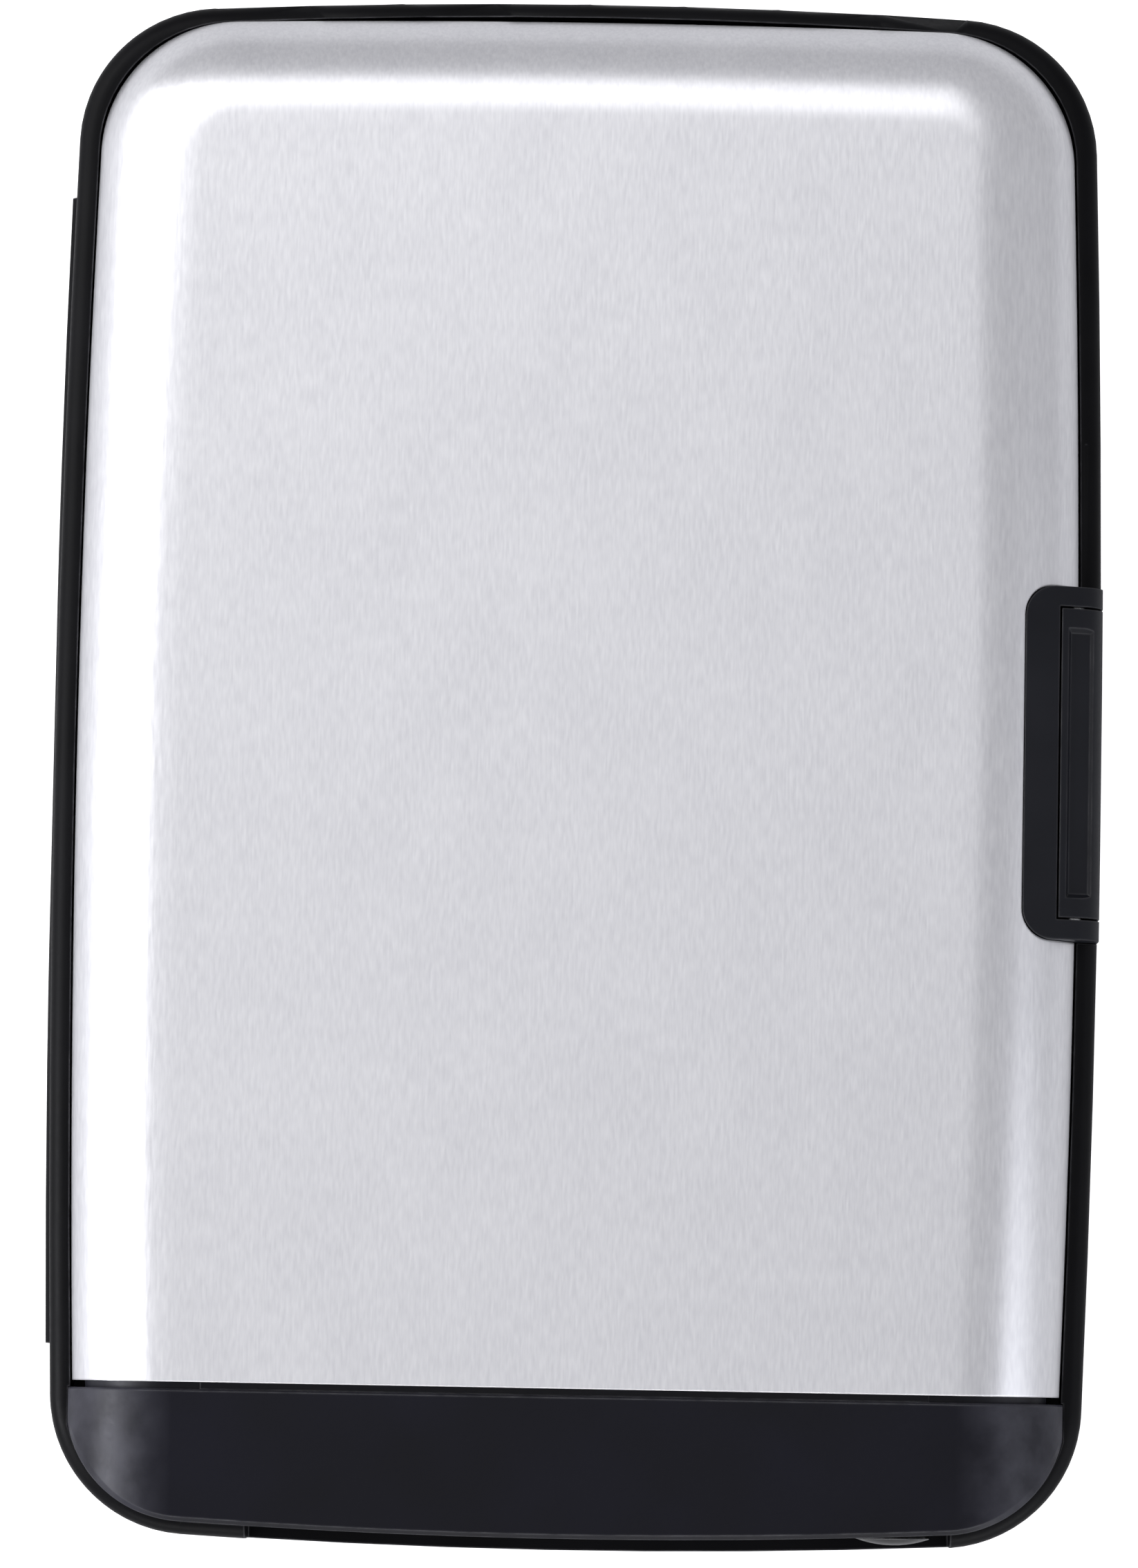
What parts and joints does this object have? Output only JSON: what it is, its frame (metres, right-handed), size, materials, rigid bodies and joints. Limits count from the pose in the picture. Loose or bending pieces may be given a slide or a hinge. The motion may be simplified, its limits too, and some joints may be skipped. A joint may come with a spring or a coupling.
{
  "type": "charging wallet",
  "caption": "Slim two-shell card wallet with an accordion of pockets, a side latch and a built-in battery with charging ports in one end.",
  "frame": {"origin": "centre of the flat rear face on which the closed wallet lies", "axes": "+X from the hinge to the latch, +Y along the length away from the ports, +Z through the thickness towards the front"},
  "size_m": [0.0763, 0.1126, 0.024],
  "materials": {
    "brushed_aluminium": "satin, fine brushing along the length",
    "black_plastic": "fine satin moulded black",
    "frame_plastic": "satin moulded black",
    "latch_plastic": "satin moulded black",
    "button_plastic": "semi gloss black",
    "foam_tape": "closed cell foam with adhesive faces",
    "accordion_sheet": "fine grained black sheet",
    "steel": "bright drawn steel",
    "plated_steel": "nickel plated sheet",
    "gold_contacts": "gold plated",
    "port_plastic": "moulded black",
    "inner_plastic": "plain moulded black",
    "cell_foil": "matt laminated foil",
    "red_insulation": "lead insulation",
    "black_insulation": "lead insulation",
    "plug_plastic": "natural nylon",
    "board_laminate": "solder mask",
    "led_lens": "clear lens",
    "clear_pipe": "clear acrylic",
    "switch_body": "moulded switch body",
    "chip_body": "moulded package",
    "ferrite": "pressed ferrite",
    "ceramic": "ceramic body"
  },
  "bodies": {
    "base": {"rear_shell": "brushed_aluminium", "rear_end_cap": "black_plastic", "rear_frame": "frame_plastic", "catch_block": "frame_plastic", "pocket_tape": "foam_tape", "accordion_back_sheet": "accordion_sheet", "hinge_pin": "steel", "pleats_top": "accordion_sheet", "pleats_bottom": "accordion_sheet", "spine_folds": "accordion_sheet"},
    "lid": {"front_shell": "brushed_aluminium", "front_end_cap": "black_plastic", "front_frame": "frame_plastic", "latch_bezel": "latch_plastic", "latch_pin": "steel", "latch_leaf_spring": "steel", "battery_cover": "inner_plastic", "cover_screws": "steel", "battery_cell": "cell_foil", "battery_tape": "foam_tape", "battery_lead_red": "red_insulation", "battery_lead_black": "black_insulation", "battery_plug": "plug_plastic", "circuit_board": "board_laminate", "board_screws": "steel", "usb_a_shell": "plated_steel", "usb_a_tongue": "port_plastic", "usb_a_contacts": "gold_contacts", "micro_usb_shell": "plated_steel", "micro_usb_tongue": "port_plastic", "charge_leds": "led_lens", "light_pipes": "clear_pipe", "power_switch": "switch_body", "controller_chip": "chip_body", "inductor": "ferrite", "capacitors": "ceramic", "accordion_front_sheet": "accordion_sheet"},
    "divider_1": {"divider_1": "accordion_sheet"},
    "divider_2": {"divider_2": "accordion_sheet"},
    "divider_3": {"divider_3": "accordion_sheet"},
    "divider_4": {"divider_4": "accordion_sheet"},
    "divider_5": {"divider_5": "accordion_sheet"},
    "divider_6": {"divider_6": "accordion_sheet"},
    "latch_button": {"latch_button": "latch_plastic"},
    "power_button": {"power_button": "button_plastic"}
  },
  "joints": [
    {"name": "lid_open", "type": "hinge", "parent": "base", "child": "lid", "pos_m": [-0.03555, 0, 0.012], "axis": [0, -1, 0], "range_deg": [0, 50], "deforming": ["pleats_top", "pleats_bottom", "spine_folds"]},
    {"name": "divider_1_fan", "type": "hinge", "parent": "base", "child": "divider_1", "pos_m": [-0.03555, 0, 0.012], "axis": [0, -1, 0], "range_deg": [0, 7.15]},
    {"name": "divider_2_fan", "type": "hinge", "parent": "base", "child": "divider_2", "pos_m": [-0.03555, 0, 0.012], "axis": [0, -1, 0], "range_deg": [0, 14.3]},
    {"name": "divider_3_fan", "type": "hinge", "parent": "base", "child": "divider_3", "pos_m": [-0.03555, 0, 0.012], "axis": [0, -1, 0], "range_deg": [0, 21.44]},
    {"name": "divider_4_fan", "type": "hinge", "parent": "base", "child": "divider_4", "pos_m": [-0.03555, 0, 0.012], "axis": [0, -1, 0], "range_deg": [0, 28.58]},
    {"name": "divider_5_fan", "type": "hinge", "parent": "base", "child": "divider_5", "pos_m": [-0.03555, 0, 0.012], "axis": [0, -1, 0], "range_deg": [0, 35.72]},
    {"name": "divider_6_fan", "type": "hinge", "parent": "base", "child": "divider_6", "pos_m": [-0.03555, 0, 0.012], "axis": [0, -1, 0], "range_deg": [0, 42.87]},
    {"name": "latch_press", "type": "hinge", "parent": "lid", "child": "latch_button", "pos_m": [0.0359, 0.00085, 0.0203], "axis": [0, 1, 0], "range_deg": [0, 5], "stiffness_Nm_per_rad": 0.02, "springref_deg": -5.73, "deforming": ["latch_leaf_spring"]},
    {"name": "power_press", "type": "slide", "parent": "lid", "child": "power_button", "axis": [0, 1, 0], "range_m": [0, 0.0004], "stiffness_N_per_m": 400, "springref_m": -0.0005}
  ],
  "couplings": [
    {"joint": "divider_1_fan", "follows": "lid_open", "ratio": 0.14286},
    {"joint": "divider_2_fan", "follows": "lid_open", "ratio": 0.28571},
    {"joint": "divider_3_fan", "follows": "lid_open", "ratio": 0.42857},
    {"joint": "divider_4_fan", "follows": "lid_open", "ratio": 0.57143},
    {"joint": "divider_5_fan", "follows": "lid_open", "ratio": 0.71429},
    {"joint": "divider_6_fan", "follows": "lid_open", "ratio": 0.85714}
  ]
}
